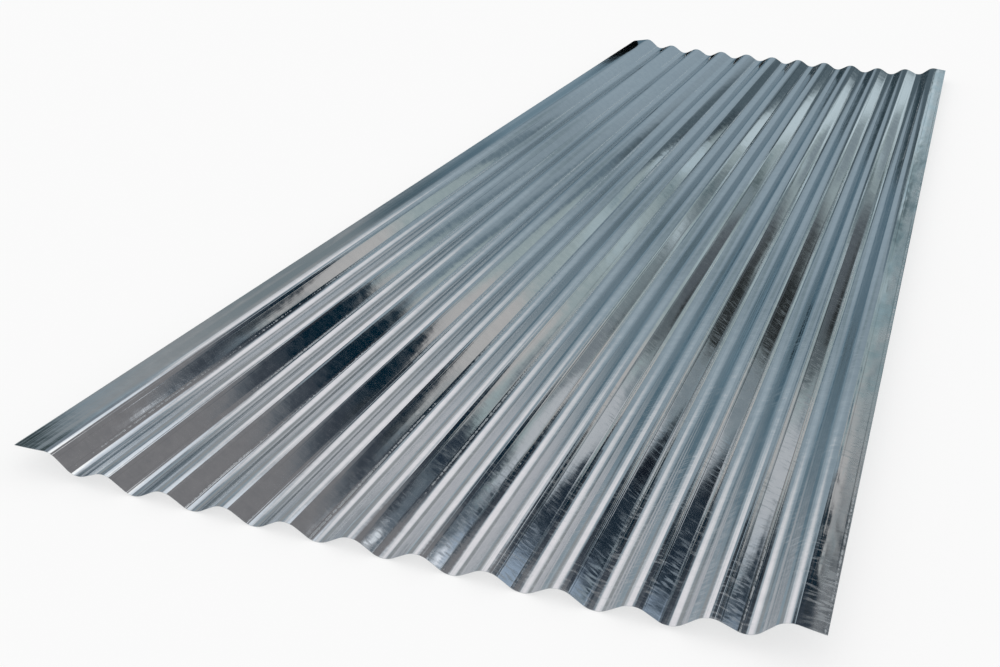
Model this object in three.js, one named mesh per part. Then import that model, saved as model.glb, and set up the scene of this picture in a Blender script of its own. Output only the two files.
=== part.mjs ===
// A corrugated sheet of galvanised steel, rolled from one flat blank and lying face up.
// Millimetres, +Z up. The waves run along Y, the near end is at -Y, and left is -X.
// The section is drawn flat, extruded along the length, and then curled up at both sides.

import * as THREE from 'three';

// The rolled section. Depth and radius are taken at the middle of the steel.
const pitch = 67.73;
const waveDepth = 13.1;
const bendRadius = 21.4;
const steelThickness = 0.45;
const crestCount = 12;

// The blank was cut to this length.
const sheetLength = 2500;

// Past the first and last crest a plain strip falls straight to the cut edge, flatter
// than a flank. Its width is measured from its crest, and its fall is in degrees.
const leftStripWidth = 40;
const rightStripWidth = 31;
const leftStripFall = 20;
const rightStripFall = 20;

// Both sides curl up. A curl's run is how far in from the outer crest it starts, and its
// lift is how high it raises that crest, changing evenly from the near end to the far one.
const leftCurlRun = 130;
const leftLiftNear = 14.5;
const leftLiftFar = 12.5;
const rightCurlRun = 172;
const rightLiftNear = 23;
const rightLiftFar = 15.5;

// Facets. An odd number in a bend leaves its middle facet level, as a seat for a screw
// or a purlin, and an odd number of steps keeps the middle of the length on one facet.
const bendFacets = 7;
const stripFacets = 3;
const lengthSteps = 5;

const crestCentreHeight = waveDepth - bendRadius;
const valleyCentreHeight = bendRadius;
const lastCrest = crestCount - 1;

// A flank is the straight line that touches a crest's arc and the next valley's arc.
function flankSlope() {
  const halfPitch = pitch / 2;
  const centreRise = valleyCentreHeight - crestCentreHeight;
  const centreDistance = Math.hypot(halfPitch, centreRise);
  return Math.asin((2 * bendRadius) / centreDistance) - Math.atan2(centreRise, halfPitch);
}

function crestX(crest) {
  return (crest - lastCrest / 2) * pitch;
}

// The arc over a crest, from left to right. A bend's left and right slopes are the
// angles of the steel on each side of it, and the offset is from the middle of the steel.
function crestArc(crest, leftSlope, rightSlope, offset) {
  const radius = bendRadius + offset;
  const up = Math.PI / 2;
  const arc = new THREE.EllipseCurve(
    crestX(crest), crestCentreHeight, radius, radius, up + leftSlope, up - rightSlope, true,
  );
  return arc.getPoints(bendFacets);
}

// The arc through the valley on the right of a crest, from left to right.
function valleyArc(crest, slope, offset) {
  const radius = bendRadius - offset;
  const down = -Math.PI / 2;
  const arc = new THREE.EllipseCurve(
    crestX(crest) + pitch / 2, valleyCentreHeight, radius, radius, down - slope, down + slope, false,
  );
  return arc.getPoints(bendFacets);
}

// The straight part of a strip, from just past its crest's arc out to the cut edge.
// Side is -1 on the left and 1 on the right.
function strip(crest, side, width, slope, offset) {
  const radius = bendRadius + offset;
  const run = width - bendRadius * Math.sin(slope);
  const arcEnd = new THREE.Vector2(
    crestX(crest) + side * radius * Math.sin(slope), crestCentreHeight + radius * Math.cos(slope),
  );
  const cutEdge = new THREE.Vector2(arcEnd.x + side * run, arcEnd.y - run * Math.tan(slope));
  return new THREE.LineCurve(arcEnd, cutEdge).getPoints(stripFacets).slice(1);
}

// One face of the flat section, from the left edge to the right one.
function sectionFace(offset) {
  const slope = flankSlope();
  const leftSlope = THREE.MathUtils.degToRad(leftStripFall);
  const rightSlope = THREE.MathUtils.degToRad(rightStripFall);
  const face = strip(0, -1, leftStripWidth, leftSlope, offset).reverse();
  for (let crest = 0; crest < crestCount; crest += 1) {
    const before = crest === 0 ? leftSlope : slope;
    const after = crest === lastCrest ? rightSlope : slope;
    face.push(...crestArc(crest, before, after, offset));
    if (crest < lastCrest) {
      face.push(...valleyArc(crest, slope, offset));
    }
  }
  face.push(...strip(lastCrest, 1, rightStripWidth, rightSlope, offset));
  return face;
}

function flatSheet() {
  const underside = sectionFace(-steelThickness / 2);
  const topFace = sectionFace(steelThickness / 2);
  const section = new THREE.Shape([...underside, ...topFace.reverse()]);
  const geometry = new THREE.ExtrudeGeometry(section, {
    depth: sheetLength, steps: lengthSteps, bevelEnabled: false,
  });
  geometry.rotateX(Math.PI / 2);
  geometry.translate(0, sheetLength / 2, 0);
  return geometry;
}

// Bends the part of the sheet beyond a curl's start round a large arc that starts level,
// and keeps each point's height square to that arc, so that the steel keeps its thickness.
// Side is -1 on the left and 1 on the right.
function curl(vertex, side, run, liftNear, liftFar) {
  const start = crestX(lastCrest) - run;
  const reach = side * vertex.x - start;
  if (reach <= 0) {
    return;
  }
  const lift = THREE.MathUtils.mapLinear(
    vertex.y, -sheetLength / 2, sheetLength / 2, liftNear, liftFar,
  );
  const radius = (run ** 2 + lift ** 2) / (2 * lift);
  const angle = reach / radius;
  const fromCentre = radius - vertex.z;
  vertex.x = side * (start + fromCentre * Math.sin(angle));
  vertex.z = radius - fromCentre * Math.cos(angle);
}

function corrugatedSheet() {
  const geometry = flatSheet();
  const positions = geometry.attributes.position;
  const vertex = new THREE.Vector3();
  for (let i = 0; i < positions.count; i += 1) {
    vertex.fromBufferAttribute(positions, i);
    curl(vertex, -1, leftCurlRun, leftLiftNear, leftLiftFar);
    curl(vertex, 1, rightCurlRun, rightLiftNear, rightLiftFar);
    positions.setXYZ(i, vertex.x, vertex.y, vertex.z);
  }
  geometry.computeVertexNormals();
  const galvanisedSteel = new THREE.MeshStandardMaterial({
    color: 0xb4bdc2, roughness: 0.22, metalness: 1,
  });
  const sheet = new THREE.Mesh(geometry, galvanisedSteel);
  sheet.name = 'corrugated_sheet';
  return sheet;
}

// Rests the sheet on its middle valleys, with the origin on the floor under its centre.
function restOnFloor(mesh) {
  const box = new THREE.Box3().setFromObject(mesh);
  const centre = box.getCenter(new THREE.Vector3());
  mesh.position.set(-centre.x, -centre.y, -box.min.z);
}

const sheet = corrugatedSheet();
restOnFloor(sheet);

const part = new THREE.Group();
part.add(sheet);

export default part;
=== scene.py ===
"""Looks of a corrugated sheet of galvanised steel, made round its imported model. Metres, +Z up."""

import math

import bmesh
import bpy
import numpy
from mathutils import Matrix, Vector, noise


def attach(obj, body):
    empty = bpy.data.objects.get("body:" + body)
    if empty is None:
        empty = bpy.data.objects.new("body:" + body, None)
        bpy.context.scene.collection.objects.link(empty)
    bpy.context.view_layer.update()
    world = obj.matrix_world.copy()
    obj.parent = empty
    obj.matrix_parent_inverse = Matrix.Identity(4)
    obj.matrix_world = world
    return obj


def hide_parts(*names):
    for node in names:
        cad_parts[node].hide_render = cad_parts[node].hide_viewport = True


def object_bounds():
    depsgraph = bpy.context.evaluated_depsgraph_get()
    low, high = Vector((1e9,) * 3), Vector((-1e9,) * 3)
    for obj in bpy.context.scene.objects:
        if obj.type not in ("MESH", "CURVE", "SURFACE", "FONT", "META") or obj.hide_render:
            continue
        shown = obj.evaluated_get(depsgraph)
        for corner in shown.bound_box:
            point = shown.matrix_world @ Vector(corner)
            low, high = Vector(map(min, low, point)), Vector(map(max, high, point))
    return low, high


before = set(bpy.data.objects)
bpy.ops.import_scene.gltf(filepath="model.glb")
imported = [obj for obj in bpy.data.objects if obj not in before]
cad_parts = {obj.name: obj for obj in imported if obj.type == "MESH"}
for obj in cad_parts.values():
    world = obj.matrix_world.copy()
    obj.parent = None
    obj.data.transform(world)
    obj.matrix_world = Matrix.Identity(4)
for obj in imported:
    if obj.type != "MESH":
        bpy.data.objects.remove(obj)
cad_low, cad_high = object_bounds()

# The rolled section. Depth and radius are taken at the middle of the steel.
PITCH = 0.06773
WAVE_DEPTH = 0.0131
BEND_RADIUS = 0.0214
STEEL = 0.00045
CRESTS = 12
LENGTH = 2.4998
FIRST_CREST = -(CRESTS - 1) / 2 * PITCH
LAST_CREST = -FIRST_CREST
CREST_CENTRE = WAVE_DEPTH - BEND_RADIUS
VALLEY_CENTRE = BEND_RADIUS

# The plain strips past the outer crests: width from the crest, and fall in degrees at each end.
LEFT_STRIP = {"side": -1, "width": 0.0397, "fall_near": 16.5, "fall_far": 24.0}
RIGHT_STRIP = {"side": 1, "width": 0.0308, "fall_near": 24.0, "fall_far": 16.0}

# How both sides curl up: where the curl starts, in from the outer crest, and how high it lifts that crest.
LEFT_CURL = {"side": -1, "run": 0.130, "lift_near": 0.0145, "lift_far": 0.0125}
RIGHT_CURL = {"side": 1, "run": 0.172, "lift_near": 0.0227, "lift_far": 0.0153}

# How far the right-hand flanks lean from the rolled slope, in degrees, and how much they bulge.
FIRST_FLANKS_LEAN = -2.4
INNER_FLANK_LEANS = (-0.3, 1.7)
LAST_FLANK_LEAN = -0.7
FLANK_BULGE = 4.0

# The slow ripple along the sheet: waves to the metre across and along, place in the noise, height.
RIPPLES = (
    (12, 4, 3.7, 0.00018),
    (30, 11, 5.2, 0.00008),
    (60, 22, 9.1, 0.00003),
)

# Facets of the smooth sheet, how close two points count as one, and the sharpest fold that is shaded soft.
BEND_STEPS = 16
FLANK_STEPS = 4
FLANK_END_SHARE = 0.06
STRIP_STEPS = 8
LENGTH_STEPS = 104
SAME_PLACE = 1e-5
SOFT_BELOW = 40


def flank_slope():
    """The slope of the straight flank that touches a crest's arc and the next valley's arc."""
    centre_rise = VALLEY_CENTRE - CREST_CENTRE
    centre_distance = math.hypot(PITCH / 2, centre_rise)
    return math.asin(2 * BEND_RADIUS / centre_distance) - math.atan2(centre_rise, PITCH / 2)


SLOPE = flank_slope()
BEND_REACH = BEND_RADIUS * math.sin(SLOPE)
FLANK_RUN = PITCH / 2 - 2 * BEND_REACH
FLANK_WIDTH = FLANK_RUN / math.cos(SLOPE)
BEND_LENGTH = BEND_RADIUS * SLOPE
ROLLED_PITCH = 4 * BEND_LENGTH + 2 * FLANK_WIDTH


# ---------------------------------------------------------------- modelling helpers


def deselect_all():
    bpy.ops.object.select_all(action="DESELECT")


def select_line(x, z):
    """In edit mode, selects only the edges that run along the sheet at this x and z."""
    bpy.ops.mesh.select_all(action="DESELECT")
    mesh = bmesh.from_edit_mesh(bpy.context.object.data)
    for edge in mesh.edges:
        ends = [vertex.co for vertex in edge.verts]
        if all(abs(end.x - x) < SAME_PLACE and abs(end.z - z) < SAME_PLACE for end in ends):
            edge.select = True
    bmesh.update_edit_mesh(bpy.context.object.data)


def spin_line(angle, centre_x, centre_z):
    """Sweeps the selected line round a bend's centre. A plus angle turns from +X towards +Z."""
    bpy.ops.mesh.spin(
        steps=max(1, round(BEND_STEPS * abs(angle) / (2 * SLOPE))),
        angle=angle,
        center=(centre_x, 0, centre_z),
        axis=(0, 1, 0),
    )


def extrude_line(x, z, steps):
    """Extrudes the selected line straight by x and z, in equal steps."""
    for _ in range(steps):
        bpy.ops.mesh.extrude_region_move(
            TRANSFORM_OT_translate={"value": (x / steps, 0, z / steps)},
        )


def apply_modifier(name):
    bpy.ops.object.modifier_apply(modifier=name)


# ---------------------------------------------------------------- the sheet


def first_flank():
    """The flank on the right of the first crest: a grid as long as the sheet, laid at its slope."""
    deselect_all()
    bpy.ops.mesh.primitive_grid_add(
        x_subdivisions=FLANK_STEPS, y_subdivisions=LENGTH_STEPS, size=1, location=(0, 0, 0),
    )
    sheet = bpy.context.object
    sheet.name = "galvanised_sheet"
    sheet.data.name = "galvanised_sheet"
    bpy.ops.object.mode_set(mode="EDIT")
    bpy.ops.transform.resize(value=(FLANK_RUN, LENGTH, 1))
    mesh = bmesh.from_edit_mesh(sheet.data)
    middle = FIRST_CREST + PITCH / 4
    for vertex in mesh.verts:
        between_middle_and_end = 0.1 < abs(vertex.co.x) / FLANK_RUN < 0.4
        if between_middle_and_end:
            vertex.co.x = math.copysign(FLANK_RUN * (0.5 - FLANK_END_SHARE), vertex.co.x)
        vertex.co.z = WAVE_DEPTH / 2 - vertex.co.x * math.tan(SLOPE)
        vertex.co.x += middle
    bmesh.update_edit_mesh(sheet.data)
    return sheet


def roll_one_wave():
    """Rolls the rest of one wave, from the first crest's top to the next crest's top."""
    crest_end_x = FIRST_CREST + BEND_REACH
    crest_end_z = CREST_CENTRE + BEND_RADIUS * math.cos(SLOPE)
    valley_end_z = VALLEY_CENTRE - BEND_RADIUS * math.cos(SLOPE)
    valley = FIRST_CREST + PITCH / 2
    select_line(crest_end_x, crest_end_z)
    spin_line(SLOPE, FIRST_CREST, CREST_CENTRE)
    select_line(valley - BEND_REACH, valley_end_z)
    spin_line(2 * SLOPE, valley, VALLEY_CENTRE)
    select_line(valley + BEND_REACH, valley_end_z)
    for share in (FLANK_END_SHARE, 0.5 - FLANK_END_SHARE, 0.5 - FLANK_END_SHARE, FLANK_END_SHARE):
        extrude_line(FLANK_RUN * share, FLANK_RUN * share * math.tan(SLOPE), 1)
    select_line(FIRST_CREST + PITCH - BEND_REACH, crest_end_z)
    spin_line(-SLOPE, FIRST_CREST + PITCH, CREST_CENTRE)
    bpy.ops.object.mode_set(mode="OBJECT")


def repeat_waves(sheet):
    """Repeats the wave across the sheet and joins the copies."""
    bpy.ops.object.modifier_add(type="ARRAY")
    waves = sheet.modifiers[-1]
    waves.count = CRESTS - 1
    waves.use_relative_offset = False
    waves.use_constant_offset = True
    waves.constant_offset_displace = (PITCH, 0, 0)
    waves.use_merge_vertices = True
    waves.merge_threshold = SAME_PLACE
    apply_modifier(waves.name)


def add_strips():
    """Extrudes a flat strip past each outer crest."""
    bpy.ops.object.mode_set(mode="EDIT")
    for strip in (LEFT_STRIP, RIGHT_STRIP):
        select_line(strip["side"] * LAST_CREST, WAVE_DEPTH)
        extrude_line(strip["side"] * strip["width"], 0, STRIP_STEPS)
    bpy.ops.mesh.select_all(action="SELECT")
    bpy.ops.mesh.remove_doubles(threshold=SAME_PLACE)
    bpy.ops.mesh.normals_make_consistent(inside=False)
    bpy.ops.object.mode_set(mode="OBJECT")


def blank_place(x):
    """How far across the flat blank a point of the rolled section was, from the middle."""
    crest = round((x - FIRST_CREST) / PITCH)
    crest = min(max(crest, 0), CRESTS - 1)
    offset = x - (FIRST_CREST + crest * PITCH)
    start = (crest - (CRESTS - 1) / 2) * ROLLED_PITCH
    outside = (crest == 0 and offset < 0) or (crest == CRESTS - 1 and offset > 0)
    if outside:
        return start + offset
    side = math.copysign(1, offset)
    run = abs(offset)
    if run <= BEND_REACH:
        return start + side * BEND_RADIUS * math.asin(run / BEND_RADIUS)
    if run <= BEND_REACH + FLANK_RUN:
        return start + side * (BEND_LENGTH + (run - BEND_REACH) / math.cos(SLOPE))
    to_valley = BEND_RADIUS * math.asin(max(0.0, PITCH / 2 - run) / BEND_RADIUS)
    return start + side * (ROLLED_PITCH / 2 - to_valley)


def mark_blank(sheet):
    """Keeps each point's place on the flat blank in a UV map, in metres across and along."""
    layer = sheet.data.uv_layers.new(name="blank")
    for loop in sheet.data.loops:
        place = sheet.data.vertices[loop.vertex_index].co
        layer.uv[loop.index].vector = (blank_place(place.x), place.y)


def between(near, far, y):
    """A value that changes evenly from the near end to the far end."""
    share = (y + LENGTH / 2) / LENGTH
    return near + (far - near) * share


def drop_strip(point, strip):
    """Bends a strip down over its crest until it falls at its own slope."""
    reach = strip["side"] * point.x - LAST_CREST
    if reach <= 0:
        return
    slope = math.radians(between(strip["fall_near"], strip["fall_far"], point.y))
    run = strip["width"] - BEND_RADIUS * math.sin(slope)
    whole = BEND_RADIUS * slope + run / math.cos(slope)
    along = reach / strip["width"] * whole
    bent = min(along / BEND_RADIUS, slope)
    rest = max(0.0, along - BEND_RADIUS * slope)
    across = BEND_RADIUS * math.sin(bent) + rest * math.cos(slope)
    point.x = strip["side"] * (LAST_CREST + across)
    point.z = CREST_CENTRE + BEND_RADIUS * math.cos(bent) - rest * math.sin(slope)


def curl_side(point, curl):
    """Curls the sheet up round a large arc, keeping each point's height square to that arc."""
    start = LAST_CREST - curl["run"]
    reach = curl["side"] * point.x - start
    if reach <= 0:
        return
    lift = between(curl["lift_near"], curl["lift_far"], point.y)
    radius = (curl["run"] ** 2 + lift**2) / (2 * lift)
    angle = reach / radius
    from_centre = radius - point.z
    point.x = curl["side"] * (start + from_centre * math.sin(angle))
    point.z = radius - from_centre * math.cos(angle)


def shape_sheet(sheet):
    """Leans the flanks, drops the strips and curls the sides."""
    for vertex in sheet.data.vertices:
        vertex.co.z += lean_height(vertex.co.x)
        for strip in (LEFT_STRIP, RIGHT_STRIP):
            drop_strip(vertex.co, strip)
        for curl in (LEFT_CURL, RIGHT_CURL):
            curl_side(vertex.co, curl)
    sheet.data.update()


def flank_lean(flank):
    """How far one right-hand flank, counted from 0 on the left, leans from the rolled slope."""
    last = CRESTS - 2
    if flank < 2:
        return FIRST_FLANKS_LEAN
    if flank == last:
        return LAST_FLANK_LEAN
    first_lean, last_lean = INNER_FLANK_LEANS
    return first_lean + (last_lean - first_lean) * (flank - 2) / (last - 3)


def lean_height(x):
    """The small height that gives each right-hand flank its lean and bulge, run out smoothly in the bends."""
    place = (x - FIRST_CREST) / PITCH
    flank = math.floor(place)
    across = (place - flank - 0.25) * 4
    if flank < 0 or flank > CRESTS - 2 or abs(across) >= 1:
        return 0.0
    flat = 2 * FLANK_RUN / PITCH
    reach = PITCH / 4 * flat
    lean = math.radians(flank_lean(flank)) * reach
    bulge = math.radians(FLANK_BULGE) * reach / 4
    side = math.copysign(1, across)
    if abs(across) <= flat:
        share = across / flat
        return -lean * share + bulge * (1 - share * share)
    rest = (abs(across) - flat) / (1 - flat)
    start_slope = (1 - flat) / flat
    back = (2 * rest - 3) * rest * rest + 1
    turn = (rest - 2) * rest * rest + rest
    return -side * lean * (back + start_slope * turn) - 2 * bulge * start_slope * turn


def slow_ripple(x, y):
    """The slight waviness that rolling leaves along the sheet, as a height in metres."""
    height = 0.0
    for across, along, place, depth in RIPPLES:
        height += depth * noise.noise((x * across, y * along, place))
    return height


def ripple_sheet(sheet):
    """Moves each point along its normal by the slow ripple."""
    normals = [vertex.normal.copy() for vertex in sheet.data.vertices]
    for vertex, normal in zip(sheet.data.vertices, normals):
        vertex.co += normal * slow_ripple(vertex.co.x, vertex.co.y)
    sheet.data.update()


def thicken(sheet):
    """Gives the sheet its thickness, half to each side, with the second material on the cut edges."""
    bpy.ops.object.modifier_add(type="SOLIDIFY")
    wall = sheet.modifiers[-1]
    wall.thickness = STEEL
    wall.offset = 0
    wall.use_even_offset = True
    wall.material_offset_rim = 1
    apply_modifier(wall.name)


def seat_sheet(sheet):
    """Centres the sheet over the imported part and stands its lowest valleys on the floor."""
    places = [vertex.co for vertex in sheet.data.vertices]
    low = Vector([min(place[axis] for place in places) for axis in range(3)])
    high = Vector([max(place[axis] for place in places) for axis in range(3)])
    middle = (cad_low + cad_high) / 2
    shift = Vector((middle.x - (low.x + high.x) / 2, middle.y - (low.y + high.y) / 2, cad_low.z - low.z))
    sheet.data.transform(Matrix.Translation(shift))
    sheet.data.update()


def build_sheet(materials):
    sheet = first_flank()
    roll_one_wave()
    repeat_waves(sheet)
    add_strips()
    mark_blank(sheet)
    shape_sheet(sheet)
    ripple_sheet(sheet)
    for material in materials:
        sheet.data.materials.append(material)
    thicken(sheet)
    seat_sheet(sheet)
    deselect_all()
    sheet.select_set(True)
    bpy.context.view_layer.objects.active = sheet
    bpy.ops.object.shade_smooth_by_angle(angle=math.radians(SOFT_BELOW))
    return sheet


# ---------------------------------------------------------------- node helpers


def node(tree, kind, **settings):
    made = tree.nodes.new(kind)
    for name, value in settings.items():
        setattr(made, name, value)
    return made


def feed(tree, socket, value):
    """Links a socket to the input, or sets the input to a plain value."""
    if isinstance(value, bpy.types.NodeSocket):
        tree.links.new(value, socket)
    else:
        socket.default_value = value


def calculate(tree, operation, *values):
    made = node(tree, "ShaderNodeMath", operation=operation)
    for socket, value in zip(made.inputs, values):
        feed(tree, socket, value)
    return made.outputs[0]


def mixed(tree, share, first, second):
    made = node(tree, "ShaderNodeMix", data_type="RGBA")
    feed(tree, made.inputs[0], share)
    feed(tree, made.inputs[6], first)
    feed(tree, made.inputs[7], second)
    return made.outputs[2]


def stretched_noise(tree, place, across, along, detail=2.0, shift=0.0):
    """A flat noise on the blank, with so many features to the metre across and along."""
    stretch = node(tree, "ShaderNodeMapping")
    feed(tree, stretch.inputs["Vector"], place)
    stretch.inputs["Scale"].default_value = (across, along, 1)
    stretch.inputs["Location"].default_value = (shift, shift, 0)
    grain = node(tree, "ShaderNodeTexNoise", noise_dimensions="2D")
    grain.inputs["Scale"].default_value = 1.0
    grain.inputs["Detail"].default_value = detail
    feed(tree, grain.inputs["Vector"], stretch.outputs["Vector"])
    return grain.outputs["Fac"]


def remap(tree, value, low, high, new_low=0.0, new_high=1.0, kind="LINEAR"):
    made = node(tree, "ShaderNodeMapRange", interpolation_type=kind)
    feed(tree, made.inputs["Value"], value)
    feed(tree, made.inputs["From Min"], low)
    feed(tree, made.inputs["From Max"], high)
    feed(tree, made.inputs["To Min"], new_low)
    feed(tree, made.inputs["To Max"], new_high)
    return made.outputs["Result"]


def fade(tree, value, low, high, new_low=0.0, new_high=1.0):
    """A remap that starts and ends softly."""
    return remap(tree, value, low, high, new_low, new_high, "SMOOTHSTEP")


def times(tree, first, second):
    return calculate(tree, "MULTIPLY", first, second)


def place_parts(tree, place):
    """A place's X, Y and Z."""
    split = node(tree, "ShaderNodeSeparateXYZ")
    tree.links.new(place, split.inputs[0])
    return split.outputs


def new_group(name, inputs, outputs):
    """An empty shader node group with named inputs and outputs, and its two ends."""
    group = bpy.data.node_groups.new(name, "ShaderNodeTree")
    for label, kind in inputs:
        group.interface.new_socket(label, in_out="INPUT", socket_type=kind)
    for label, kind in outputs:
        group.interface.new_socket(label, in_out="OUTPUT", socket_type=kind)
    put_in = node(group, "NodeGroupInput").outputs
    give_out = node(group, "NodeGroupOutput").inputs
    return group, put_in, give_out


def use_group(tree, group, **values):
    """Places a group and feeds its inputs; a name's underscores stand for spaces."""
    made = node(tree, "ShaderNodeGroup")
    made.node_tree = group
    for name, value in values.items():
        feed(tree, made.inputs[name.replace("_", " ")], value)
    return made.outputs


def new_material(name):
    material = bpy.data.materials.new(name)
    material.use_nodes = True
    material.node_tree.nodes.clear()
    material.cycles.emission_sampling = "NONE"
    return material


VECTOR = "NodeSocketVector"
FLOAT = "NodeSocketFloat"


# ---------------------------------------------------------------- effects in the metal


# Whole waves added before the fraction is taken, so that it never starts below zero.
WHOLE_WAVES_LEFT = 10


def wave_phase(group, blank):
    """Where a point lies in its wave, from 0 at one crest's top to 1 at the next crest's top."""
    waves = calculate(group, "DIVIDE", place_parts(group, blank)["X"], ROLLED_PITCH)
    from_first_crest = calculate(group, "ADD", waves, (CRESTS - 1) / 2 + WHOLE_WAVES_LEFT)
    return calculate(group, "FRACT", from_first_crest)


def near_phase(group, phase, centre, half_width):
    """A soft mask round one place in every wave."""
    away = calculate(group, "ABSOLUTE", calculate(group, "SUBTRACT", phase, centre))
    return fade(group, away, half_width, 0.0)


# Places in the wave: where the crest's bend ends, where the valley's begins, the middle of each flank and
# the row of worn dents.
HIGH_BEND = BEND_LENGTH / ROLLED_PITCH
LOW_BEND = (BEND_LENGTH + FLANK_WIDTH) / ROLLED_PITCH
RIGHT_FLANK = (HIGH_BEND + LOW_BEND) / 2
LEFT_FLANK = 1 - RIGHT_FLANK
BEAD_LINE = LOW_BEND + 0.042
OUTER_CREST = (CRESTS - 1) / 2 * ROLLED_PITCH


def chatter_group():
    """Fine ridges across the sheet, a few millimetres apart, stronger in some patches."""
    group, put_in, give_out = new_group(
        "Cross chatter",
        [("Blank", VECTOR), ("Depth", FLOAT)],
        [("Height", FLOAT), ("Ridge", FLOAT)],
    )
    ridges = stretched_noise(group, put_in["Blank"], across=120, along=210, detail=2.0)
    patches = stretched_noise(group, put_in["Blank"], across=9, along=3, detail=2.0, shift=4.1)
    strength = remap(group, patches, 0.35, 0.65, 0.35, 1.25)
    near = fade(group, place_parts(group, put_in["Blank"])["Y"], -0.5, -1.1, 0.45, 1.0)
    height = times(group, ridges, times(group, strength, near))
    group.links.new(times(group, height, put_in["Depth"]), give_out["Height"])
    group.links.new(ridges, give_out["Ridge"])
    return group


# Creases the rolls leave in every wave: place in the wave, half width there, and height against the rest.
CREASES = [
    (0.0, 0.020, 0.7),
    (HIGH_BEND * 0.5, 0.014, 2.0),
    (HIGH_BEND - 0.010, 0.014, -0.8),
    (LOW_BEND + 0.010, 0.012, -0.9),
    (LOW_BEND + HIGH_BEND * 0.4, 0.013, 1.6),
    (0.5, 0.020, 0.5),
    (1 - HIGH_BEND, 0.016, 0.6),
    (0.955, 0.014, -0.6),
    (1.0, 0.020, 0.7),
]


def rolled_lines(group, blank):
    """Wide and fine lines along the sheet."""
    wide = stretched_noise(group, blank, across=230, along=0.6, detail=1.0)
    fine = stretched_noise(group, blank, across=520, along=1.2, detail=0.0, shift=7.7)
    return calculate(group, "MULTIPLY_ADD", wide, 0.78, times(group, fine, 0.22))


def all_creases(group, phase):
    """The creases of one wave, each at its place and with its rise."""
    creases = 0.0
    for centre, half_width, rise in CREASES:
        crease = near_phase(group, phase, centre, half_width)
        creases = calculate(group, "MULTIPLY_ADD", crease, rise, creases)
    return creases


def paint_bend_shade(group, blank, phase, change):
    """Painted shade: thin dark lines at both ends of a right-hand flank, where it meets its bends, mostly on
    the right half of the sheet.
    """
    high = near_phase(group, phase, HIGH_BEND - 0.012, 0.013)
    low = near_phase(group, phase, LOW_BEND + 0.016, 0.010)
    bend_shade = calculate(group, "MAXIMUM", high, low)
    bend_shade = times(group, bend_shade, remap(group, change, 0.40, 0.60, 0.1, 1.0))
    right = fade(group, place_parts(group, blank)["X"], -0.12, 0.12, 0.1, 0.8)
    return times(group, bend_shade, right)


def paint_left_flank_shade(group, blank, phase):
    """Painted shade on the left-hand flanks, away from the near end."""
    flank_shade = remap(group, near_phase(group, phase, LEFT_FLANK, 0.19), 0.1, 0.7)
    inward = fade(group, place_parts(group, blank)["Y"], -1.1, -0.75, 0.1, 1.0)
    return times(group, flank_shade, inward)


def roll_lines_group():
    """Fine lines that the rolls draw along the sheet, and the creases they leave at the bends."""
    group, put_in, give_out = new_group(
        "Roll lines",
        [("Blank", VECTOR), ("Depth", FLOAT), ("Crease Depth", FLOAT)],
        [("Height", FLOAT), ("Line", FLOAT), ("Bend Shade", FLOAT), ("Painted Shade", FLOAT)],
    )
    blank = put_in["Blank"]
    phase = wave_phase(group, blank)
    lines = rolled_lines(group, blank)
    flank = near_phase(group, phase, RIGHT_FLANK, 0.16)
    share = remap(group, flank, 0.1, 0.4, 1.0, 0.12)
    height = times(group, times(group, lines, share), put_in["Depth"])
    change = stretched_noise(group, blank, across=20, along=1.5, detail=2.0, shift=5.5)
    creases = all_creases(group, phase)
    creases = times(group, creases, remap(group, change, 0.3, 0.7, 0.2, 1.4))
    creases = times(group, creases, put_in["Crease Depth"])
    group.links.new(lines, give_out["Line"])
    group.links.new(calculate(group, "ADD", height, creases), give_out["Height"])
    group.links.new(paint_bend_shade(group, blank, phase, change), give_out["Bend Shade"])
    group.links.new(paint_left_flank_shade(group, blank, phase), give_out["Painted Shade"])
    return group


def beads_group():
    """A row of small worn dents along the line where each valley begins."""
    group, put_in, give_out = new_group(
        "Bend beads", [("Blank", VECTOR), ("Depth", FLOAT)], [("Height", FLOAT), ("Wear", FLOAT)],
    )
    blank = put_in["Blank"]
    row = near_phase(group, wave_phase(group, blank), BEAD_LINE, 0.030)
    dents = stretched_noise(group, blank, across=70, along=190, detail=1.0, shift=2.3)
    runs = stretched_noise(group, blank, across=16, along=3, detail=1.0, shift=8.9)
    dents = times(group, dents, remap(group, runs, 0.4, 0.6, 0.4, 1.2))
    left = fade(group, place_parts(group, blank)["X"], -0.1, 0.15, 1.0, 0.7)
    dents = times(group, times(group, dents, left), row)
    group.links.new(times(group, dents, put_in["Depth"]), give_out["Height"])
    group.links.new(remap(group, dents, 0.28, 0.40), give_out["Wear"])
    return group


def paint_strip_shade(group, across, along, waves):
    """Painted shade in patches on both strips, following their waves, but not at the near end nor far up the
    left one.
    """
    sides = calculate(group, "ABSOLUTE", across)
    sides = fade(group, sides, OUTER_CREST + 0.002, OUTER_CREST + 0.012)
    painted_shade = times(group, sides, remap(group, waves, 0.38, 0.62, 0.95, 0.15))
    left_far = calculate(group, "MULTIPLY_ADD", across, -3.0, along)
    painted_shade = times(group, painted_shade, fade(group, left_far, 0.5, 1.3, 1.0, 0.0))
    return times(group, painted_shade, fade(group, along, -1.05, -0.75, 0.2, 1.0))


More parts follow.
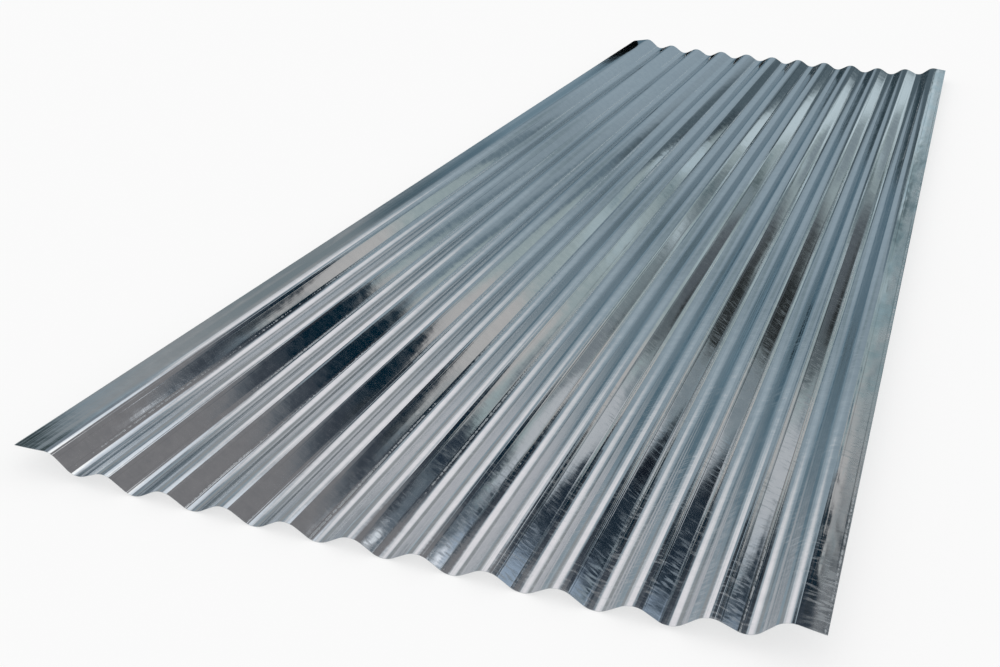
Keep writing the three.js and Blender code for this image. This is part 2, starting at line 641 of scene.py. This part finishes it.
def wobble_group():
    """The uneven surface between the ridges, stronger on the plain strip at the right."""
    group, put_in, give_out = new_group(
        "Surface wobble",
        [("Blank", VECTOR), ("Depth", FLOAT), ("Strip Depth", FLOAT)],
        [("Height", FLOAT), ("Rim", FLOAT), ("Painted Shade", FLOAT)],
    )
    blank = put_in["Blank"]
    across, along, _ = place_parts(group, blank)
    everywhere = stretched_noise(group, blank, across=34, along=22, detail=2.0, shift=2.9)
    patches = stretched_noise(group, blank, across=6, along=4, detail=1.0, shift=9.4)
    everywhere = times(group, everywhere, remap(group, patches, 0.35, 0.65, 0.4, 1.3))
    waves = stretched_noise(group, blank, across=40, along=9, detail=2.0, shift=6.1)
    right_strip = fade(group, across, OUTER_CREST + 0.002, OUTER_CREST + 0.014)
    height = times(group, everywhere, put_in["Depth"])
    side = times(group, times(group, waves, right_strip), put_in["Strip Depth"])
    group.links.new(calculate(group, "ADD", height, side), give_out["Height"])
    group.links.new(paint_strip_shade(group, across, along, waves), give_out["Painted Shade"])
    rim = fade(group, across, OUTER_CREST + 0.013, OUTER_CREST + 0.020)
    group.links.new(times(group, rim, remap(group, waves, 0.3, 0.6, 0.4, 1.0)), give_out["Rim"])
    return group


def bloom_group():
    """The zinc's soft change of tone from patch to patch, and its finer mottle."""
    group, put_in, give_out = new_group(
        "Zinc bloom", [("Blank", VECTOR)], [("Bloom", FLOAT), ("Mottle", FLOAT)],
    )
    bloom = stretched_noise(group, put_in["Blank"], across=7, along=2.2, detail=3.0, shift=1.7)
    mottle = stretched_noise(group, put_in["Blank"], across=70, along=55, detail=4.0, shift=5.3)
    group.links.new(remap(group, bloom, 0.3, 0.7), give_out["Bloom"])
    group.links.new(remap(group, mottle, 0.3, 0.7), give_out["Mottle"])
    return group


def scratches_group():
    """Short fine scratches across the sheet, thickest towards the near right-hand corner."""
    group, put_in, give_out = new_group("Scratches", [("Blank", VECTOR)], [("Scratch", FLOAT)])
    blank = put_in["Blank"]
    across, along, _ = place_parts(group, blank)
    strokes = stretched_noise(group, blank, across=80, along=260, detail=0.0, shift=3.1)
    where = stretched_noise(group, blank, across=22, along=9, detail=2.0, shift=6.4)
    lines = remap(group, strokes, 0.50, 0.74)
    strength = remap(group, where, 0.35, 0.62, 0.15, 1.0)
    right = fade(group, across, -0.2, 0.25, 0.08, 1.0)
    near = fade(group, along, 0.1, -1.25, 0.15, 1.0)
    strength = times(group, strength, times(group, right, near))
    group.links.new(times(group, lines, strength), give_out["Scratch"])
    return group


# ---------------------------------------------------------------- materials

LIGHT_ZINC = (0.685, 0.695, 0.700, 1)
DARK_ZINC = (0.600, 0.618, 0.632, 1)
SCRATCHED_ZINC = (0.76, 0.77, 0.77, 1)
# Painted shade: the dark colour of the thin lines where each right-hand flank meets its bends.
PAINTED_BEND_SHADE = (0.16, 0.18, 0.19, 1)
# Painted shade: the dark blue-grey laid over the left-hand flanks and in patches on the strips.
PAINTED_SHADE_ZINC = (0.400, 0.480, 0.515, 1)
GRAZING_TINT = (0.81, 0.825, 0.835, 1)
CHATTER_DEPTH = 0.000016
WOBBLE_DEPTH = 0.000120
ROLL_LINE_DEPTH = 0.000150
CREASE_DEPTH = 0.000045
BEAD_DEPTH = 0.000100
STRIP_WAVE_DEPTH = 0.00100
TEAR_DEPTH = 0.00004
DARK_EDGE = (0.40, 0.42, 0.44, 1)
LIGHT_EDGE = (0.66, 0.68, 0.69, 1)


def metal_shader(tree):
    """A full metal shader, wired to the material's output."""
    shader = node(tree, "ShaderNodeBsdfPrincipled")
    output = node(tree, "ShaderNodeOutputMaterial")
    tree.links.new(shader.outputs["BSDF"], output.inputs["Surface"])
    shader.inputs["Metallic"].default_value = 1.0
    shader.inputs["Specular Tint"].default_value = GRAZING_TINT
    return shader


def bump(tree, height):
    made = node(tree, "ShaderNodeBump")
    made.inputs["Strength"].default_value = 1.0
    made.inputs["Distance"].default_value = 1.0
    tree.links.new(height, made.inputs["Height"])
    return made.outputs["Normal"]


def zinc_tone(tree, bloom, chatter):
    """From 0 where the zinc is dark to 1 where it is light: its own random bloom and mottle, with painted
    shade that follows the cross ridges.
    """
    tone = times(tree, bloom["Bloom"], 0.25)
    tone = calculate(tree, "MULTIPLY_ADD", bloom["Mottle"], 0.40, tone)
    # Painted shade: the colour follows the cross ridges.
    tone = calculate(tree, "MULTIPLY_ADD", chatter["Ridge"], 0.35, tone)
    return remap(tree, tone, 0.2, 0.8)


def steel_material(groups):
    """Bright galvanised steel, rolled along its length."""
    material = new_material("galvanised_steel")
    tree = material.node_tree
    shader = metal_shader(tree)
    blank = node(tree, "ShaderNodeUVMap", uv_map="blank").outputs["UV"]
    chatter = use_group(tree, groups["chatter"], Blank=blank, Depth=CHATTER_DEPTH)
    lines = use_group(
        tree, groups["lines"], Blank=blank, Depth=ROLL_LINE_DEPTH, Crease_Depth=CREASE_DEPTH,
    )
    beads = use_group(tree, groups["beads"], Blank=blank, Depth=BEAD_DEPTH)
    wobble = use_group(
        tree, groups["wobble"], Blank=blank, Depth=WOBBLE_DEPTH, Strip_Depth=STRIP_WAVE_DEPTH,
    )
    bloom = use_group(tree, groups["bloom"], Blank=blank)
    scratches = use_group(tree, groups["scratches"], Blank=blank)
    tone = zinc_tone(tree, bloom, chatter)
    marks = calculate(tree, "MAXIMUM", times(tree, scratches["Scratch"], 0.5), beads["Wear"])
    painted_shade = calculate(tree, "MAXIMUM", lines["Painted Shade"], wobble["Painted Shade"])
    colour = mixed(tree, tone, DARK_ZINC, LIGHT_ZINC)
    # Paints the shade on the left-hand flanks and the strips.
    colour = mixed(tree, painted_shade, colour, PAINTED_SHADE_ZINC)
    colour = mixed(tree, times(tree, marks, 0.7), colour, SCRATCHED_ZINC)
    # Paints the dark lines of shade at the ends of the right-hand flanks.
    colour = mixed(tree, lines["Bend Shade"], colour, PAINTED_BEND_SHADE)
    tree.links.new(colour, shader.inputs["Base Color"])
    rough = remap(tree, tone, 0.2, 0.8, 0.05, 0.09)
    for more, share in ((lines["Line"], 0.02), (marks, 0.28), (wobble["Rim"], 0.16)):
        rough = calculate(tree, "MULTIPLY_ADD", more, share, rough)
    tree.links.new(rough, shader.inputs["Roughness"])
    height = chatter["Height"]
    for effect in (lines, beads, wobble):
        height = calculate(tree, "ADD", height, effect["Height"])
    tree.links.new(bump(tree, height), shader.inputs["Normal"])
    return material


def edge_material(groups):
    """The sheared edge: bare steel with torn zinc, duller than the face."""
    material = new_material("cut_edge")
    tree = material.node_tree
    shader = metal_shader(tree)
    blank = node(tree, "ShaderNodeUVMap", uv_map="blank").outputs["UV"]
    bloom = use_group(tree, groups["bloom"], Blank=blank)
    tear = stretched_noise(tree, blank, across=700, along=700, detail=2.0, shift=1.9)
    tone = calculate(tree, "MULTIPLY_ADD", bloom["Mottle"], 0.4, times(tree, tear, 0.6))
    tree.links.new(mixed(tree, tone, DARK_EDGE, LIGHT_EDGE), shader.inputs["Base Color"])
    tree.links.new(remap(tree, tear, 0.3, 0.7, 0.28, 0.45), shader.inputs["Roughness"])
    tree.links.new(bump(tree, times(tree, tear, TEAR_DEPTH)), shader.inputs["Normal"])
    return material


# ---------------------------------------------------------------- studio


WHITE = (1, 1, 1, 1)
PALE = (0.9, 0.9, 0.9, 1)
CLOTH_SHADE = (10, 13, 15)
FLOOR_SIZE = 40
FLOOR_GLOW = 0.6


def display(red, green, blue):
    """A colour as seen on screen, from 0 to 255, as the light that gives it."""
    return (*[(value / 255) ** 2.2 for value in (red, green, blue)], 1)


# About how much light the metal gives back. The lights that only it mirrors are stronger by as much.
METAL_SHARE = 0.67

# What the metal mirrors: a wall past the far end with soft-edged cards before it. A card has its name, how
# soft its edge is in metres, its colour and its corners in metres across and up, counterclockwise. Later
# cards stand before earlier ones.
WALL_DISTANCE = 2.6
WALL_SHADE = (130, 144, 153)
WALL_CARDS = [
    ("upper wall", 0.5, (114, 113, 115), (-3.0, 2.9), (3.4, 2.9), (3.4, 8.0), (-3.0, 8.0)),
    ("left wall", 0.6, (137, 140, 142), (-4.2, 0.6), (-1.8, 0.6), (-2.1, 1.9), (-4.4, 2.4)),
    ("left glow", 0.5, (182, 189, 194), (-3.6, -0.9), (-2.7, -0.9), (-2.7, 0.3), (-3.6, 0.3)),
    ("grey screen", 0.3, (84, 98, 106), (-2.1, 0.52), (-1.6, 0.5), (-1.6, 0.75), (-2.05, 1.0)),
    ("left end", 0.8, (134, 147, 155), (-9.0, -2.0), (-4.0, -2.0), (-4.4, 3.0), (-9.0, 4.0)),
    (
        "blue screen", 0.3, (94, 113, 124),
        (-2.0, -0.8), (-0.7, -0.8), (-0.75, 0.3), (-0.9, 0.56), (-1.2, 0.66), (-1.5, 0.7), (-2.0, 0.6),
    ),
    (
        "pale wall", 0.3, (138, 153, 163),
        (-0.70, 0.25), (-0.1, 0.15), (0.02, 0.70), (-0.2, 0.90), (-0.68, 0.88),
    ),
    ("blue step", 0.2, (120, 138, 149), (-1.48, 0.22), (-0.88, 0.14), (-0.82, 0.42), (-1.44, 0.58)),
    ("blue wall", 0.3, (116, 131, 138), (-0.75, 0.9), (-0.1, 0.86), (0.0, 1.15), (-0.7, 1.25)),
    (
        "upper pale", 0.35, (144, 158, 167),
        (-1.3, 1.0), (-0.9, 0.98), (-0.25, 1.28), (-0.25, 1.65), (-1.25, 1.5),
    ),
    (
        "low band", 0.12, (86, 106, 118),
        (-1.4, -0.8), (-0.3, -0.8), (-0.3, 0.16), (-0.9, 0.22), (-1.4, 0.24),
    ),
    (
        "glow", 0.5, (192, 194, 197),
        (-2.7, 2.3), (-2.3, 1.6), (-1.3, 1.35), (-0.65, 1.55), (-0.48, 1.85), (-0.52, 2.3), (-0.9, 3.0),
        (-2.4, 3.2),
    ),
    (
        "soft box", 0.45, (218, 215, 218),
        (-2.3, 2.4), (-1.9, 1.85), (-0.9, 1.85), (-0.65, 2.2), (-0.85, 2.75), (-2.1, 2.95),
    ),
    ("corner flag", 0.4, (52, 62, 64), (-4.6, 2.5), (-3.6, 2.4), (-3.5, 3.1), (-4.6, 3.2)),
    ("slate wall", 0.5, (112, 121, 129), (-4.3, 3.6), (-2.9, 2.5), (-2.3, 2.9), (-3.7, 4.1)),
    ("lamp glow", 0.5, (205, 212, 220), (-2.7, 3.2), (-0.8, 3.2), (-0.8, 4.3), (-2.7, 4.3)),
    ("lamp", 0.4, (255, 255, 255), (-2.5, 4.0), (-0.7, 4.0), (-0.7, 4.8), (-2.5, 4.8)),
    ("haze", 0.35, (54, 60, 68), (-0.4, 2.5), (1.5, 2.5), (1.5, 2.95), (-0.4, 2.95)),
    ("haze foot", 0.12, (48, 52, 58), (-0.2, 2.2), (0.25, 2.2), (0.25, 2.65), (-0.3, 2.65)),
    (
        "slate strip", 0.10, (96, 112, 122),
        (0.10, 0.78), (0.26, 0.76), (0.34, 1.5), (0.38, 1.9), (0.24, 1.9), (0.15, 1.3),
    ),
    ("slate foot", 0.10, (78, 91, 98), (0.06, 0.0), (0.60, 0.0), (0.56, 0.2), (0.34, 0.85), (0.14, 0.9)),
    (
        "pale card", 0.05, (145, 158, 160),
        (0.28, 0.70), (0.335, 0.44), (0.395, 0.27), (0.60, 0.18), (1.52, 1.25), (1.52, 2.36),
        (1.0, 2.36), (0.42, 2.06), (0.34, 1.9), (0.28, 1.4), (0.26, 1.0),
    ),
    (
        "card edge", 0.03, (58, 69, 75),
        (0.24, 0.50), (0.31, 0.47), (0.335, 0.53), (0.30, 0.70), (0.25, 0.80),
    ),
    (
        "card top", 0.14, (170, 168, 167),
        (0.44, 1.60), (0.82, 1.5), (1.00, 1.95), (1.05, 2.36), (0.43, 2.10),
    ),
    (
        "top shade", 0.08, (138, 141, 143),
        (0.84, 2.06), (0.96, 1.99), (1.02, 2.02), (1.0, 2.16), (0.88, 2.18),
    ),
    ("card band", 0.08, (158, 173, 178), (0.32, 1.08), (0.62, 1.02), (0.70, 1.22), (0.40, 1.22)),
    ("card shade", 0.06, (126, 143, 150), (0.27, 0.98), (0.42, 0.98), (0.42, 1.06), (0.28, 1.08)),
    ("card spot", 0.05, (106, 123, 128), (0.34, 0.83), (0.50, 0.80), (0.53, 0.89), (0.38, 0.93)),
    (
        "card glint", 0.04, (171, 187, 195),
        (0.27, 0.80), (0.29, 0.68), (0.38, 0.64), (0.46, 0.72), (0.40, 0.80), (0.30, 0.84),
    ),
    (
        "grey slope", 0.07, (111, 122, 126),
        (0.44, 0.69), (0.56, 0.62), (0.80, 0.60), (1.08, 1.15), (1.06, 1.40), (0.84, 1.40),
        (0.62, 1.06),
    ),
    ("dark fold", 0.05, (86, 101, 106), (0.46, 0.76), (0.56, 0.72), (0.62, 0.80), (0.52, 0.84)),
    ("fold glint", 0.05, (176, 189, 195), (0.57, 0.93), (0.69, 0.90), (0.74, 0.98), (0.62, 1.01)),
    (
        "low grey", 0.05, (119, 132, 138),
        (0.57, 0.71), (0.66, 0.64), (0.74, 0.70), (0.76, 0.78), (0.68, 0.80),
    ),
    ("low fold", 0.04, (82, 94, 96), (0.53, 0.63), (0.62, 0.57), (0.69, 0.61), (0.62, 0.67), (0.55, 0.68)),
    (
        "low card", 0.04, (184, 198, 204),
        (0.335, 0.50), (0.40, 0.26), (0.60, 0.18), (0.575, 0.32), (0.52, 0.46), (0.44, 0.58),
        (0.36, 0.60),
    ),
    (
        "low shade", 0.04, (122, 134, 140),
        (0.545, 0.355), (0.60, 0.34), (0.70, 0.42), (0.74, 0.50), (0.73, 0.56), (0.62, 0.50),
    ),
    ("low glint", 0.03, (170, 185, 192), (0.59, 0.54), (0.655, 0.49), (0.675, 0.515), (0.615, 0.57)),
    ("low gap", 0.04, (112, 124, 131), (0.68, 0.52), (0.70, 0.48), (0.75, 0.48), (0.74, 0.53)),
    ("mid fold", 0.04, (112, 130, 134), (0.49, 0.60), (0.55, 0.555), (0.58, 0.575), (0.52, 0.63)),
    (
        "dark slope", 0.08, (82, 88, 93),
        (0.70, 0.84), (0.78, 0.64), (0.88, 0.62), (0.94, 0.68), (1.10, 0.95), (1.06, 1.14),
        (0.86, 1.14),
    ),
    (
        "brown foot", 0.07, (62, 66, 68),
        (0.84, 0.70), (0.90, 0.66), (0.99, 0.74), (1.06, 0.88), (0.98, 0.92), (0.89, 0.84),
    ),
    (
        "brown screen", 0.06, (42, 45, 46),
        (0.95, 0.88), (1.04, 0.80), (1.20, 0.82), (1.42, 1.02), (1.30, 1.14), (1.06, 1.16),
    ),
    (
        "grey fold", 0.09, (113, 120, 125),
        (0.84, 1.35), (1.10, 1.35), (1.20, 1.72), (1.14, 1.92), (1.00, 1.82),
    ),
    ("brown top", 0.06, (84, 92, 96), (0.92, 1.12), (1.18, 1.16), (1.19, 1.33), (1.06, 1.40), (0.94, 1.26)),
    (
        "grey end", 0.06, (117, 127, 133),
        (1.20, 1.20), (1.40, 1.10), (1.50, 1.24), (1.52, 1.44), (1.44, 1.54), (1.26, 1.48),
    ),
    ("dark end", 0.06, (70, 79, 84), (1.50, 1.20), (1.70, 1.20), (1.70, 1.42), (1.55, 1.42)),
    (
        "bright card", 0.07, (172, 175, 179),
        (1.14, 1.60), (1.24, 1.46), (1.56, 1.50), (1.58, 1.84), (1.48, 2.05), (1.30, 2.02),
        (1.16, 1.80),
    ),
    (
        "flag", 0.06, (4, 33, 45),
        (0.16, 2.08), (0.30, 2.01), (0.57, 2.00), (0.84, 2.14), (0.98, 2.34), (0.76, 2.60),
        (0.14, 2.60),
    ),
    ("flag fade", 0.08, (42, 48, 53), (0.84, 2.42), (0.98, 2.34), (1.08, 2.44), (1.04, 2.60), (0.78, 2.64)),
    ("flag end", 0.06, (38, 48, 59), (1.04, 2.12), (1.46, 2.06), (1.46, 2.45), (1.16, 2.50), (1.08, 2.36)),
    ("flag side", 0.08, (110, 114, 117), (0.16, 1.95), (0.30, 1.95), (0.30, 2.12), (0.24, 2.3)),
    (
        "navy flag", 0.07, (33, 44, 54),
        (1.60, 1.38), (1.80, 1.38), (2.40, 2.0), (2.12, 2.25), (1.60, 2.50), (1.58, 1.75),
    ),
    ("bright end", 0.06, (176, 181, 187), (1.44, 1.95), (1.56, 1.88), (1.58, 2.14), (1.48, 2.22)),
    ("navy foot", 0.05, (24, 29, 37), (1.61, 1.38), (1.75, 1.40), (1.92, 1.62), (1.61, 1.70)),
    (
        "blue haze", 0.22, (140, 155, 172),
        (1.70, 2.48), (1.95, 2.24), (2.3, 2.10), (2.5, 2.35), (1.95, 2.75), (1.72, 2.62),
    ),
    ("blue end", 0.10, (74, 83, 92), (1.44, 2.35), (1.68, 2.35), (1.70, 2.58), (1.46, 2.62)),
    ("grey top", 0.12, (88, 97, 106), (1.44, 2.60), (1.72, 2.60), (1.72, 3.05), (1.44, 3.05)),
    ("spot", 0.06, (232, 236, 244), (1.76, 2.59), (1.94, 2.59), (1.94, 2.78), (1.76, 2.78)),
    ("far spot", 0.05, (225, 230, 236), (1.50, 2.86), (1.64, 2.86), (1.64, 3.12), (1.50, 3.12)),
    ("far gap", 0.10, (50, 62, 68), (-0.42, -0.4), (0.35, -0.4), (0.35, 0.12), (-0.3, 0.15)),
]

# The rest of the room. A panel has its name, its middle in degrees from +Y towards +X and above the floor,
# half its width and height, its turn, how soft it is and its colour. Later panels stand before earlier ones.
ROOM_SHADE = (136, 148, 157)
ROOM_PANELS = [
    ("low wall", 0, 0, 400, 9, 0, 0.6, (122, 133, 140)),
    ("high wall", 0, 48, 400, 9, 0, 0.7, (112, 118, 124)),
    ("ceiling", 0, 90, 400, 26, 0, 0.4, (222, 226, 230)),
    ("left soft box", -100, 27, 22, 10, 6, 0.6, (226, 229, 232)),
    ("left flag", -128, 20, 5, 16, 14, 0.4, (40, 52, 62)),
    ("right soft box", 95, 30, 20, 11, -8, 0.6, (228, 229, 231)),
    ("right flag", 122, 17, 8, 9, -20, 0.4, (46, 50, 54)),
    ("back soft box", 178, 29, 26, 10, 4, 0.6, (226, 229, 232)),
    ("back flag", 150, 33, 6, 12, 20, 0.4, (30, 46, 58)),
    ("back card", -155, 14, 9, 7, -25, 0.4, (186, 188, 190)),
    ("left card", -52, 17, 12, 7, 12, 0.5, (196, 200, 203)),
    ("left foot", -36, 12, 5, 8, 20, 0.4, (64, 76, 84)),
    ("right card", 48, 18, 13, 7, -15, 0.5, (190, 193, 196)),
    ("right foot", 34, 11, 5, 8, -24, 0.4, (58, 68, 76)),
]


def panel_group():
    """A soft-edged, turned ellipse as a mask."""
    group, put_in, give_out = new_group(
        "Soft panel",
        [("Place", VECTOR), ("Centre", VECTOR), ("Half Size", VECTOR), ("Turn", VECTOR), ("Softness", FLOAT)],
        [("Mask", FLOAT)],
    )
    frame_it = node(group, "ShaderNodeMapping", vector_type="TEXTURE")
    group.links.new(put_in["Place"], frame_it.inputs["Vector"])
    group.links.new(put_in["Centre"], frame_it.inputs["Location"])
    group.links.new(put_in["Half Size"], frame_it.inputs["Scale"])
    group.links.new(put_in["Turn"], frame_it.inputs["Rotation"])
    away = node(group, "ShaderNodeVectorMath", operation="LENGTH")
    group.links.new(frame_it.outputs["Vector"], away.inputs[0])
    outer = calculate(group, "ADD", 1.0, put_in["Softness"])
    inner = calculate(group, "SUBTRACT", 1.0, put_in["Softness"])
    group.links.new(fade(group, away.outputs["Value"], outer, inner), give_out["Mask"])
    return group


def panelled_colour(tree, group, across, up, shade, panels):
    """The colour of a wall with its panels, one over the other."""
    join = node(tree, "ShaderNodeCombineXYZ")
    tree.links.new(across, join.inputs["X"])
    tree.links.new(up, join.inputs["Y"])
    colour = display(*shade)
    for name, panel_across, panel_up, half_width, half_height, turn, softness, panel_shade in panels:
        mask = use_group(
            tree,
            group,
            Place=join.outputs[0],
            Centre=(panel_across, panel_up, 0),
            Half_Size=(half_width, half_height, 1),
            Turn=(0, 0, math.radians(turn)),
            Softness=softness,
        )["Mask"]
        colour = mixed(tree, mask, colour, display(*panel_shade))
    return colour


def light_room(group):
    """A plain white room for the light, with its panels where only the metal mirrors them."""
    world = bpy.data.worlds.new("studio")
    bpy.context.scene.world = world
    world.use_nodes = True
    tree = world.node_tree
    tree.nodes.clear()
    x, y, z = place_parts(tree, node(tree, "ShaderNodeTexCoord").outputs["Generated"])
    across = calculate(tree, "DEGREES", calculate(tree, "ARCTAN2", x, y))
    up = calculate(tree, "DEGREES", calculate(tree, "ARCSINE", z))
    mirrored = node(tree, "ShaderNodeBackground")
    room = panelled_colour(tree, group, across, up, ROOM_SHADE, ROOM_PANELS)
    tree.links.new(room, mirrored.inputs["Color"])
    mirrored.inputs["Strength"].default_value = 1 / METAL_SHARE
    plain = node(tree, "ShaderNodeBackground")
    plain.inputs["Color"].default_value = WHITE
    plain.inputs["Strength"].default_value = 1.0
    rays = node(tree, "ShaderNodeLightPath")
    mix = node(tree, "ShaderNodeMixShader")
    tree.links.new(rays.outputs["Is Glossy Ray"], mix.inputs[0])
    tree.links.new(plain.outputs[0], mix.inputs[1])
    tree.links.new(mirrored.outputs[0], mix.inputs[2])
    output = node(tree, "ShaderNodeOutputWorld")
    tree.links.new(mix.outputs[0], output.inputs["Surface"])


def edge_mask(across, up, start, end, softness):
    """How far inside one edge of a card each point lies, from 0 outside to 1 inside."""
    run_across = end[0] - start[0]
    run_up = end[1] - start[1]
    inside = run_across * (up - start[1]) - run_up * (across - start[0])
    share = numpy.clip(inside / math.hypot(run_across, run_up) / softness + 0.5, 0, 1)
    return share * share * (3 - 2 * share)


def card_mask(across, up, softness, corners):
    mask = numpy.ones_like(across)
    for start, end in zip(corners, corners[1:] + corners[:1]):
        mask *= edge_mask(across, up, start, end, softness)
    return mask


def wall_light(across, up):
    """The wall's light at each point, with its cards one before the other."""
    light = numpy.empty((len(across), 4))
    light[:] = display(*WALL_SHADE)
    for name, softness, shade, *corners in WALL_CARDS:
        mask = card_mask(across, up, softness, corners)[:, None]
        light = light * (1 - mask) + numpy.array(display(*shade)) * mask
    return light


def wall_material():
    """Gives off the light kept in the wall's colours."""
    material = new_material("wall_light")
    tree = material.node_tree
    light = node(tree, "ShaderNodeVertexColor", layer_name="light")
    glow = node(tree, "ShaderNodeEmission")
    tree.links.new(light.outputs["Color"], glow.inputs["Color"])
    glow.inputs["Strength"].default_value = 1 / METAL_SHARE
    output = node(tree, "ShaderNodeOutputMaterial")
    tree.links.new(glow.outputs[0], output.inputs["Surface"])
    return material


def show_only_to_metal(item):
    """Leaves an item to be seen only as a mirror image."""
    item.visible_camera = False
    item.visible_diffuse = False
    item.visible_shadow = False
    item.visible_volume_scatter = False


def stand_wall(name, distance, left, low, right, high, cell):
    """A studio wall past the far end, seen only as a mirror image in the metal."""
    deselect_all()
    bpy.ops.mesh.primitive_grid_add(
        x_subdivisions=round((right - left) / cell),
        y_subdivisions=round((high - low) / cell),
        size=1,
    )
    wall = bpy.context.object
    wall.name = name
    for vertex in wall.data.vertices:
        across = left + (right - left) * (vertex.co.x + 0.5)
        up = low + (high - low) * (vertex.co.y + 0.5)
        vertex.co = (across, distance, up)
    places = numpy.array([tuple(vertex.co) for vertex in wall.data.vertices])
    colours = wall.data.color_attributes.new("light", "FLOAT_COLOR", "POINT")
    colours.data.foreach_set("color", wall_light(places[:, 0], places[:, 2]).ravel())
    show_only_to_metal(wall)
    return wall


def stand_walls():
    """A finely divided wall where the metal mirrors most, before a plainer one."""
    material = wall_material()
    for wall in (
        stand_wall("near_wall", WALL_DISTANCE, -1.4, -0.1, 2.6, 3.1, 0.015),
        stand_wall("far_wall", WALL_DISTANCE + 0.01, -9.0, -4.0, 9.0, 8.0, 0.09),
    ):
        wall.data.materials.append(material)


def place_dark(name, centre, size, turn):
    """A dark card past the far end, seen only as a mirror image in the metal."""
    deselect_all()
    bpy.ops.mesh.primitive_plane_add(size=1, location=centre, rotation=(turn, 0, 0))
    dark = bpy.context.object
    dark.name = name
    dark.scale = (*size, 1)
    show_only_to_metal(dark)
    material = new_material(name)
    tree = material.node_tree
    paint = node(tree, "ShaderNodeEmission")
    paint.inputs["Color"].default_value = display(*CLOTH_SHADE)
    output = node(tree, "ShaderNodeOutputMaterial")
    tree.links.new(paint.outputs[0], output.inputs["Surface"])
    dark.data.materials.append(material)


def place_darks():
    place_dark("floor_cloth", (-0.6, 1.56, 0.001), (3.0, 0.6), 0)
    place_dark("corner_cloth", (-0.53, 1.36, 0.035), (0.2, 0.07), math.pi / 2)


def lay_floor():
    deselect_all()
    bpy.ops.mesh.primitive_plane_add(size=FLOOR_SIZE, location=(0, 0, 0))
    floor = bpy.context.object
    floor.name = "studio_floor"
    material = new_material("studio_floor")
    tree = material.node_tree
    paint = node(tree, "ShaderNodeBsdfDiffuse")
    paint.inputs["Color"].default_value = PALE
    glow = node(tree, "ShaderNodeEmission")
    glow.inputs["Color"].default_value = WHITE
    glow.inputs["Strength"].default_value = 1.0
    rays = node(tree, "ShaderNodeLightPath")
    seen = calculate(tree, "MAXIMUM", rays.outputs["Is Camera Ray"], rays.outputs["Is Glossy Ray"])
    seen = calculate(tree, "MAXIMUM", seen, rays.outputs["Is Transmission Ray"])
    mix = node(tree, "ShaderNodeMixShader")
    tree.links.new(times(tree, seen, FLOOR_GLOW), mix.inputs[0])
    tree.links.new(paint.outputs[0], mix.inputs[1])
    tree.links.new(glow.outputs[0], mix.inputs[2])
    output = node(tree, "ShaderNodeOutputMaterial")
    tree.links.new(mix.outputs[0], output.inputs["Surface"])
    floor.data.materials.append(material)


# The camera, in degrees and metres, with its lens and sensor in millimetres.
CAMERA_PLACE = (0.42027, -2.141624, 0.663875)
CAMERA_AZIMUTH = 19.153
CAMERA_ELEVATION = 23.82
CAMERA_ROLL = -2.412
CAMERA_LENS = 45.39
SENSOR_WIDTH = 36


def place_camera():
    azimuth = math.radians(CAMERA_AZIMUTH)
    elevation = math.radians(CAMERA_ELEVATION)
    roll = math.radians(CAMERA_ROLL)
    back = Vector((
        math.sin(azimuth) * math.cos(elevation),
        -math.cos(azimuth) * math.cos(elevation),
        math.sin(elevation),
    ))
    right = (-back).cross(Vector((0, 0, 1))).normalized()
    down = (-back).cross(right)
    turned_right = right * math.cos(roll) + down * math.sin(roll)
    turned_up = right * math.sin(roll) - down * math.cos(roll)
    lens = bpy.data.cameras.new("studio_camera")
    lens.sensor_width = SENSOR_WIDTH
    lens.lens = CAMERA_LENS
    lens.clip_start = 0.05
    lens.clip_end = 100
    camera = bpy.data.objects.new("studio_camera", lens)
    bpy.context.scene.collection.objects.link(camera)
    axes = Matrix((turned_right, turned_up, back)).transposed()
    camera.matrix_world = Matrix.Translation(CAMERA_PLACE) @ axes.to_4x4()
    bpy.context.scene.camera = camera


place_camera()
lay_floor()
panel = panel_group()
light_room(panel)
stand_walls()
place_darks()
bpy.context.scene.view_settings.view_transform = "Standard"
effects = {
    "chatter": chatter_group(),
    "lines": roll_lines_group(),
    "beads": beads_group(),
    "wobble": wobble_group(),
    "bloom": bloom_group(),
    "scratches": scratches_group(),
}
sheet = build_sheet([steel_material(effects), edge_material(effects)])
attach(sheet, "root")
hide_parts("corrugated_sheet")
